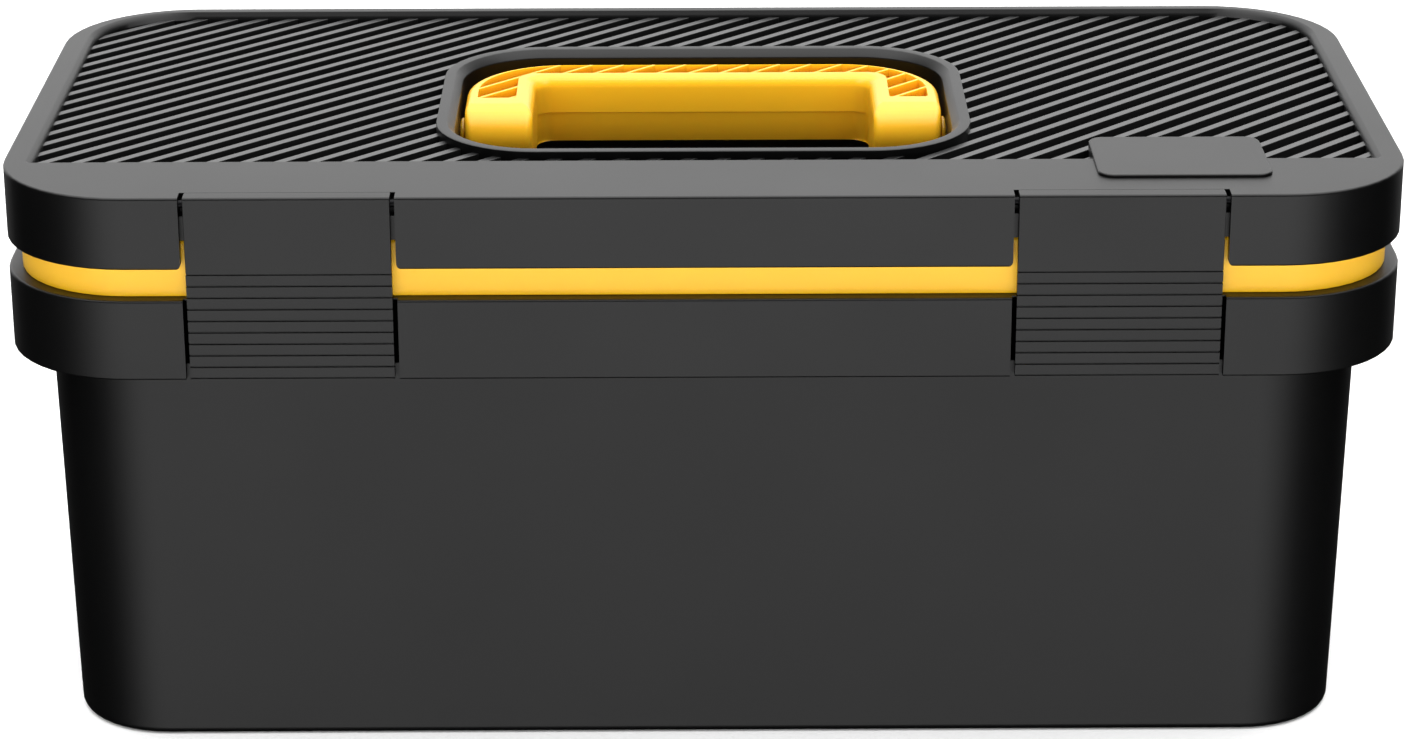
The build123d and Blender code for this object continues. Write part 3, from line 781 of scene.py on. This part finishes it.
def bay_cut(side):
    """Tool for one latch bay, seen from the front, flared at the lid's lower edge."""
    low, high = latch_sides(side)
    top, foot = LID_TOP + PAST, LID_FOOT - PAST
    corner = SLOT_CORNER
    left = arc(low - corner, LID_FOOT + corner, corner, -90, 0, 5)
    right = arc(high + corner, LID_FOOT + corner, corner, 180, 270, 5)
    face = [(low - corner, foot)] + left + [(low, top), (high, top)] + right
    face.append((high + corner, foot))
    return extruded("bay_cut", face, -LID_HALF[1] - PAST, LATCH_HIGH.y + 0.15, "Y")


def make_lid():
    lid = loft("lid", lid_rings())
    y, z = LATCH_AXIS
    sweep_r = math.hypot(LATCH_HIGH.y - y, LID_TOP - z) + RUNNING_GAP
    shelf = z - sweep_r - 0.05
    riser = y + sweep_r + 0.05
    under = LID_TOP - LID_PLATE
    cuts = [bay_cut(side) for side in SIDES]
    for side in SIDES:
        low, high = latch_sides(side)
        cuts.append(turned("sweep", y, z, [(low, sweep_r), (high, sweep_r)], 48))
        ends = sorted((side * (WELL["half_x"] - 1), side * (WELL["half_x"] + WELL_WALL + 1)))
        hole = HANDLE_PIN_R + RUNNING_GAP
        cuts.append(turned("hole", *PIVOT, [(ends[0], hole), (ends[1], hole)], 32))
    combine(lid, cuts, "DIFFERENCE")

    stop_front, stop_back = STOP_FACE
    wall = [(stop_front, BAND_TOP + 0.8), (stop_front, shelf), (riser, shelf),
            (riser, under + 0.2), (riser + 2, under + 0.2), (riser + 2, shelf - 1.8),
            (stop_back, shelf - 1.8), (stop_back, BAND_TOP + 0.8)]
    y, z = HINGE_AXIS
    arm = [(y + a, z + b) for a, b in arc(0, 0, KNUCKLE_R, 180, 360, 16)]
    arm += [(y + KNUCKLE_R, z + 8), (LID_HALF[1] - 1, LID_TOP - 5),
            (LID_HALF[1] - 1, LID_FOOT + 0.5)]
    extras = []
    for side in SIDES:
        low, high = latch_sides(side)
        extras.append(extruded("bay_wall", wall, low - 2, high + 2))
        extras.append(brick("tongue", (low + STOP_INSET, high - STOP_INSET), STOP_FACE,
                            (STOP_FOOT, BAND_TOP + 1), 0.2))
        for cheek in ((low - CHEEK, low - 0.01), (high + 0.01, high + CHEEK)):
            extras.append(brick("boss", cheek, (1 - LID_HALF[1], riser),
                                (shelf - 1.8, LID_TOP - 1), 0.2))
        extras.append(extruded("arm", arm, *hinge_spans(side)[1], bevel=0.4))
    extras.append(loft("pad", [level(pad_plan(0), FIELD_FLOOR - 0.5)]
                       + edge_rings(pad_plan, PAD_TOP - 0.5, 0.5)))
    join(lid, extras)
    smooth(lid)
    return dress(lid, LID_BLACK, "lid", "lid_plastic", "lid_shell")


def make_ribs():
    """The slanted ribs of the field, cut to its outline and to the collar."""
    block = extruded("field_block", field_edge_plan(-FIELD_SLOPE + 0.5, -0.5), FIELD_FLOOR - 1,
                     RIB_TOP + 1, "Z")
    hole = extruded("collar_hole", well_plan(COLLAR - 0.5), FIELD_FLOOR - PAST, RIB_TOP + PAST,
                    "Z")
    pad_hole = extruded("pad_hole", pad_plan(-0.5), FIELD_FLOOR - PAST, RIB_TOP + PAST, "Z")
    combine(block, [hole, pad_hole], "DIFFERENCE")
    middle_y = (FIELD["front"] + FIELD["back"]) / 2
    crossing = RIB_PHASE_X + (middle_y - FIELD["front"]) / math.tan(RIB_ANGLE)
    first = crossing - RIB_PITCH_X * round((crossing + RIB_ROW_HALF) / RIB_PITCH_X)
    count = round(2 * RIB_ROW_HALF / RIB_PITCH_X) + 1
    height = RIB_TOP - FIELD_FLOOR + 0.5
    # The ribs take the lighter, glossier copy of the lid's black: a painted sheen on their tops.
    ribs = bar_row((first, middle_y, RIB_TOP - height / 2), (RIB_PITCH_X, 0, 0), count,
                   RIB_WAY * RIB_BAR, RIB_WIDTH, height, 0.15, RIB_BLACK_PAINTED_SHEEN, block)
    ribs.name = "lid_ribs"
    smooth(ribs)
    return dress(ribs, RIB_BLACK_PAINTED_SHEEN, "lid", "lid_plastic")


def make_stiffeners():
    """Ribs across the lid's underside, clear of the well."""
    foot, top = STIFFENER_FOOT, FIELD_FLOOR - FIELD_PLATE + 0.5
    middle = (foot + top) / 2
    rows = [bar_row((*place, middle), (*step, 0), 2, (*reach, 0), STIFFENER, top - foot, 0.4,
                    LID_BLACK) for place, step, reach in STIFFENER_PAIRS]
    ribs = join(rows[0], rows[1:])
    ribs.name = "lid_stiffeners"
    smooth(ribs)
    return dress(ribs, LID_BLACK, "lid", "lid_plastic")


# ------------------------------------------------------------------ latches
def make_latch(side):
    """One latch: plate, rounded top corner, pin barrel, hook and the ridged pull."""
    front = -LID_HALF[1]
    y, z = LATCH_AXIS
    back = LATCH_HIGH.y
    face = front + RIDGE_CUT
    ridge_foot = LATCH_LOW.z
    plate = front + LATCH_PLATE
    lip = ridge_foot + 0.2
    profile = [(front + 0.1, ridge_foot), (front + 0.1, lip), (face, lip),
               (face, RIDGE_TOP + RIDGE_GAP / 2),
               (front, RIDGE_TOP + RIDGE_GAP / 2)]
    profile += list(reversed(arc(front + EDGE_ROUND, LID_TOP - EDGE_ROUND, EDGE_ROUND,
                                 90, 180, EDGE_STEPS)))
    profile += [(back, LID_TOP), (back, z + 0.3)]
    profile += list(reversed(arc(y, z, LATCH_BARREL, -85, -2, 8)))
    profile += [(plate, z - 3.4), (plate, HOOK_TOP), (HOOK_BACK, HOOK_TOP - 0.6),
                (HOOK_BACK, ridge_foot + 0.8), (plate, ridge_foot)]
    low, high = side * LATCH_X - LATCH_HALF, side * LATCH_X + LATCH_HALF
    name = f"latch_{HAND[side]}"
    latch = extruded(f"{name}_clip", profile, low, high, bevel=0.2)
    ridges = bar_row((side * LATCH_X, front + RIDGE_DEPTH / 2, RIDGE_TOP - RIDGE_PITCH / 2),
                     (0, 0, -RIDGE_PITCH), RIDGE_COUNT, (2 * LATCH_HALF, 0, 0), RIDGE_DEPTH,
                     RIDGE_PITCH - RIDGE_GAP, 0.08, LATCH_BLACK)
    join(latch, [ridges])
    smooth(latch)
    return dress(latch, LATCH_BLACK, name, "latch_plastic", name)


def make_pins():
    """Turned pins with a small chamfer at each end."""
    for side in SIDES:
        name = HAND[side]
        low, high = latch_sides(side)
        left, _, right = hinge_spans(side)
        for kind, body, axis, radius, ends in (
                ("latch_pin", "lid", LATCH_AXIS, LATCH_PIN_R, (low - 3, high + 3)),
                ("hinge_pin", "base", HINGE_AXIS, HINGE_PIN_R, (left[0], right[1]))):
            rings = [(ends[0], radius - 0.3), (ends[0] + 0.3, radius),
                     (ends[1] - 0.3, radius), (ends[1], radius - 0.3)]
            pin = smooth(turned(f"{kind}_{name}_rod", *axis, rings, 32))
            finish = PIN_BLACK if kind == "latch_pin" else PIN_STEEL
            dress(pin, finish, body, "pin_steel", f"{kind}_{name}")
        inner, outer = BAIL["half_x"] - 12, WELL["half_x"] + WELL_WALL
        disc_in, disc_out = PIN_DISC
        rings = [(inner, HANDLE_PIN_R - 0.4), (inner + 0.4, HANDLE_PIN_R),
                 (disc_in + 0.3, HANDLE_PIN_R), (disc_in + 0.3, PIN_DISC_R - 0.2),
                 (disc_in + 0.5, PIN_DISC_R), (disc_out - 0.4, PIN_DISC_R),
                 (disc_out, PIN_DISC_R - 0.4), (disc_out, HANDLE_PIN_R),
                 (outer - 0.4, HANDLE_PIN_R), (outer, HANDLE_PIN_R - 0.4)]
        pin = smooth(turned(f"handle_pin_{name}_stud", *PIVOT,
                            [(side * x, radius) for x, radius in rings], 40))
        dress(pin, BAIL_YELLOW, "handle", "handle_plastic", f"handle_pin_{name}")


# ------------------------------------------------------------------ handle
def rounding(from_edge, radius):
    """How far a rounded edge stands back at a distance from its end."""
    part = min(1.0, max(0.0, 1 - from_edge / radius))
    return radius * (1 - math.sqrt(1 - part * part))


def shoulder_drop(z):
    """How far the rounded inner edge stands back at a height."""
    return rounding(BAIL_HIGH.z - z, BAR_SHOULDER)


def bar_front(z):
    """Y of the grip's front face: rounded shoulder, upright face, undercut below the crease."""
    face = BAR_TOP_Y - BAR_SHOULDER + shoulder_drop(z)
    below = max(0.0, BAR_CREASE_Z - z)
    return face + min(0.3, below) + 0.9 * below / (BAR_CREASE_Z - BAIL_LOW.z)


def make_handle():
    """The bail as level sections from its foot to its top, with a cored top and ribs in it."""
    y, z = PIVOT
    top, foot = BAIL_HIGH.z, BAIL_LOW.z
    outer_edge, foot_edge = 1.8, 0.8
    heights = [z + KNUCKLE_ROUND * math.sin(math.radians(a)) for a in range(-90, 91, 6)]
    heights += [BAR_CREASE_Z, BAR_CREASE_Z - 0.25]
    heights += [top - BAR_SHOULDER * f for f in (0.02, 0.06, 0.12, 0.2, 0.35, 0.6, 0.8)]
    rings = []
    for height in sorted(set(round(min(max(h, foot), top), 3) for h in heights)):
        reach = math.sqrt(max(0.0, KNUCKLE_ROUND ** 2 - (height - z) ** 2))
        grow = -rounding(top - height, outer_edge) - rounding(height - foot, foot_edge)
        shape = bail_outline(**BAIL, inner_x=BAIL_INNER_X + shoulder_drop(height) + grow,
                             front=y - reach + grow, bar_front=bar_front(height) + grow,
                             grow=grow)
        rings.append(level(shape, height))
    bail = loft("handle_bail", rings)

    foot = top - POCKET_DEPTH

    def pocket(more, height):
        return level(bail_outline(**POCKET, grow=more), height)

    tool = loft("pocket", [pocket(-0.4, foot), pocket(0, top - 0.35), pocket(0.12, top - 0.1),
                           pocket(0.35, top), pocket(0.35, top + 1)])
    combine(bail, [tool], "DIFFERENCE")
    smooth(bail, 36)
    dress(bail, BAIL_YELLOW, "handle", "handle_plastic", "handle")

    block = loft("handle_ribs", [pocket(0.3, foot - 0.3), pocket(0.3, top + 0.5)])
    before, count = 12, 26      # ribs to the left of the one at POCKET_RIB_X, and in all
    start = (POCKET_RIB_X - before * RIB_PITCH_X, BAR_TOP_Y, top - 0.12 - POCKET_DEPTH / 2)
    ribs = bar_row(start, (RIB_PITCH_X, 0, 0), count, RIB_WAY * 80, POCKET_RIB, POCKET_DEPTH,
                   0.25, BAIL_YELLOW, block)
    smooth(ribs)
    dress(ribs, BAIL_YELLOW, "handle", "handle_plastic")


# ------------------------------------------------------------------ tray
def band_plan(more):
    return centred(BAND_HALF, BAND_RADIUS, more)


def pan_plan(z, wall=0.0):
    grow = (z - RIM_TOP) * PAN_DRAFT - wall
    return lambda more: centred(PAN_HALF, PAN_RADIUS, grow + more)


def tray_rings():
    """From under the pan outwards, round the band and down inside to the pan's floor."""
    rings = foot_rings(pan_plan(PAN_FOOT), 0, PAN_FOOT, 3.0, 6)
    rings.append(level(pan_plan(RIM_TOP)(0), RIM_TOP))
    rings += foot_rings(band_plan, 0, RIM_TOP, 0.4, 2)
    rings += edge_rings(band_plan, BAND_TOP - 0.8, 0.8)
    rings.append(level(band_plan(0.5 - BAND_WALL), BAND_TOP))
    rings.append(level(band_plan(-BAND_WALL), BAND_TOP - 0.5))
    flange = RIM_TOP + BAND_WALL
    rings.append(level(band_plan(-BAND_WALL), flange + 1))
    rings.append(level(band_plan(-BAND_WALL - 1), flange))
    rings += lip_rings(pan_plan(flange, PAN_WALL), flange, 1.2)
    return rings + fillet_rings(pan_plan(PAN_FLOOR, PAN_WALL), PAN_FLOOR, 4.0, 6)


def make_tray():
    tray = loft("tray_pan", tray_rings())
    end = PAN_HALF[0] - PAN_WALL - 1.2
    spine = brick("spine", (-end, end), (-SPINE_HALF, SPINE_HALF), (PAN_FLOOR - 1, SPINE_TOP),
                  0.5)
    grip_foot = SPINE_TOP - GRIP_HEIGHT
    slot_x, slot_r = FINGER_SLOT
    slot_z = grip_foot - 7.5
    slot = arc(slot_x, slot_z, slot_r, -90, 90, 10) + arc(-slot_x, slot_z, slot_r, 90, 270, 10)
    combine(spine, [extruded("slot", slot, -SPINE_HALF - PAST, SPINE_HALF + PAST, "Y")],
            "DIFFERENCE")
    grip_x, grip_y = GRIP_HALF
    grip = brick("grip", (-grip_x, grip_x), (-grip_y, grip_y), (grip_foot, SPINE_TOP), 2.0)
    guides = []
    height = GUIDE_TOP - PAN_FLOOR + 0.5
    for side in SIDES:
        for y, reach in ((3.0, 3.5), (PAN_FOOT_HALF - 0.5, 5.0)):
            for x in DIVIDER_X:
                start = (x - GUIDE_OFFSET, side * y, GUIDE_TOP - height / 2)
                guides.append(bar_row(start, (2 * GUIDE_OFFSET, 0, 0), 2, (0, reach, 0), GUIDE,
                                      height, 0.3, TRAY_YELLOW))
    join(tray, [spine, grip, *guides])
    smooth(tray)
    dress(tray, TRAY_YELLOW, "tray", "tray_plastic", "tray")


def make_dividers():
    """The four cross walls, each with a round notch in its top."""
    places = [(side, x) for side in SIDES for x in DIVIDER_X]
    near, far = SPINE_HALF + 0.2, PAN_FOOT_HALF - 0.2
    low, high = PAN_FLOOR + 0.05, DIVIDER_TOP
    for number, (side, x) in enumerate(places, 1):
        face = [(near, low), (far, low), (far, high)]
        face += arc((near + far) / 2, high, NOTCH_RADIUS, 0, -180, 12) + [(near, high)]
        face = [(side * y, z) for y, z in face]
        plate = extruded(f"divider_{number}_plate", face, x - DIVIDER_HALF, x + DIVIDER_HALF,
                         bevel=0.3)
        smooth(plate)
        dress(plate, LATCH_BLACK, "tray", "divider_plastic", f"tray_divider_{number}")


# ------------------------------------------------------------------ room
SIDE_FADE = (0.86, 0.24)     # the front softbox fades out over these sideways directions
FRONT_GLOW = 3.0
BACK_GLOW = 1.6
TOP_GLOW = 1.7
AMBIENT = 0.005
# name, place, size, power
LAMPS = (("key", (0, -2200, 440), (2600, 640), 54),
         ("sky", (0, 300, 2600), (4500, 4500), 40))
LAMP_AIM = Vector((0, 0, 80))
CAMERA_PLACE = Vector((-4.121, -1014.745, 459.228))
CAMERA_LENS = 100.88
CAMERA_PITCH, CAMERA_YAW, CAMERA_ROLL = (math.radians(a) for a in (20.828, 0.247, -0.1348))


def make_floor():
    """Pale ground under the box, kept out of its reflections."""
    floor = brick("floor", (-4000, 4000), (-4000, 4000), (-20, -0.02), 0)
    material = bpy.data.materials.new("pale_floor")
    material.use_nodes = True
    shader = material.node_tree.nodes["Principled BSDF"]
    shader.inputs["Base Color"].default_value = (0.93, 0.93, 0.93, 1)
    shader.inputs["Roughness"].default_value = 0.9
    shader.inputs["Specular IOR Level"].default_value = 0.1
    floor.data.materials.append(material)
    floor.visible_glossy = False


def make_world():
    """Studio surround: a wide softbox behind and above, a low one in front, dark sides."""
    world = bpy.data.worlds.new("studio")
    bpy.context.scene.world = world
    world.use_nodes = True
    nodes, links = world.node_tree.nodes, world.node_tree.links
    look = add_node(nodes, links, "ShaderNodeTexCoord")
    split = add_node(nodes, links, "ShaderNodeSeparateXYZ", {0: look.outputs["Generated"]})
    x, y, z = split.outputs

    def fade(value, low, high):
        return add_node(nodes, links, "ShaderNodeMapRange",
                        {"Value": value, "From Min": low, "From Max": high},
                        interpolation_type="SMOOTHSTEP").outputs[0]

    def maths(kind, a, b):
        return add_node(nodes, links, "ShaderNodeMath", {0: a, 1: b}, operation=kind).outputs[0]

    aside = add_node(nodes, links, "ShaderNodeMath", {0: x}, operation="ABSOLUTE").outputs[0]
    front = maths("MULTIPLY", fade(aside, *SIDE_FADE), fade(y, 0.1, -0.2))
    front = maths("MULTIPLY", front, maths("MULTIPLY", fade(z, 0.1, -0.1), fade(z, -0.62, -0.28)))
    back = maths("MULTIPLY", fade(aside, 0.8, 0.5), fade(y, -0.68, -0.38))
    back = maths("MULTIPLY", back, fade(z, -0.35, -0.1))
    top = maths("MULTIPLY", back, fade(z, 0.6, 0.85))
    total = maths("ADD", maths("MULTIPLY", front, FRONT_GLOW), maths("MULTIPLY", back, BACK_GLOW))
    total = maths("ADD", total, maths("MULTIPLY", top, TOP_GLOW))
    total = maths("ADD", total, AMBIENT)
    links.new(total, nodes["Background"].inputs["Strength"])
    nodes["Background"].inputs["Color"].default_value = (1, 1, 1, 1)


def make_lights():
    """Broad soft lamps for the body colour; reflections come from the surround."""
    for name, place, size, power in LAMPS:
        data = bpy.data.lights.new(name, "AREA")
        data.shape = "RECTANGLE"
        data.size, data.size_y = size[0] * MM, size[1] * MM
        data.energy = power
        lamp = link(name, data)
        lamp.location = Vector(place) * MM
        look = (LAMP_AIM - Vector(place)).normalized()
        lamp.rotation_euler = look.to_track_quat("-Z", "Y").to_euler()
        lamp.visible_glossy = False


def make_camera():
    """Long lens, a little above the lid, looking down at the front."""
    pitch, yaw, roll = CAMERA_PITCH, CAMERA_YAW, CAMERA_ROLL
    forward = Vector((math.sin(yaw) * math.cos(pitch), math.cos(yaw) * math.cos(pitch),
                      -math.sin(pitch)))
    level_right = Vector((math.cos(yaw), -math.sin(yaw), 0))
    level_up = level_right.cross(forward)
    right = level_right * math.cos(roll) + level_up * math.sin(roll)
    up = level_up * math.cos(roll) - level_right * math.sin(roll)
    data = bpy.data.cameras.new("camera")
    data.lens = CAMERA_LENS
    data.sensor_width = 36.0
    data.clip_start, data.clip_end = 0.01, 30.0
    camera = link("camera", data)
    turn = Matrix((right, up, -forward)).transposed()
    camera.matrix_world = Matrix.Translation(CAMERA_PLACE * MM) @ turn.to_4x4()
    bpy.context.scene.camera = camera


make_tub()
make_webs()
make_lid()
make_ribs()
make_stiffeners()
for side in SIDES:
    make_latch(side)
make_pins()
make_handle()
make_tray()
make_dividers()
make_floor()
make_world()
make_lights()
make_camera()
bpy.context.scene.view_settings.view_transform = "Standard"
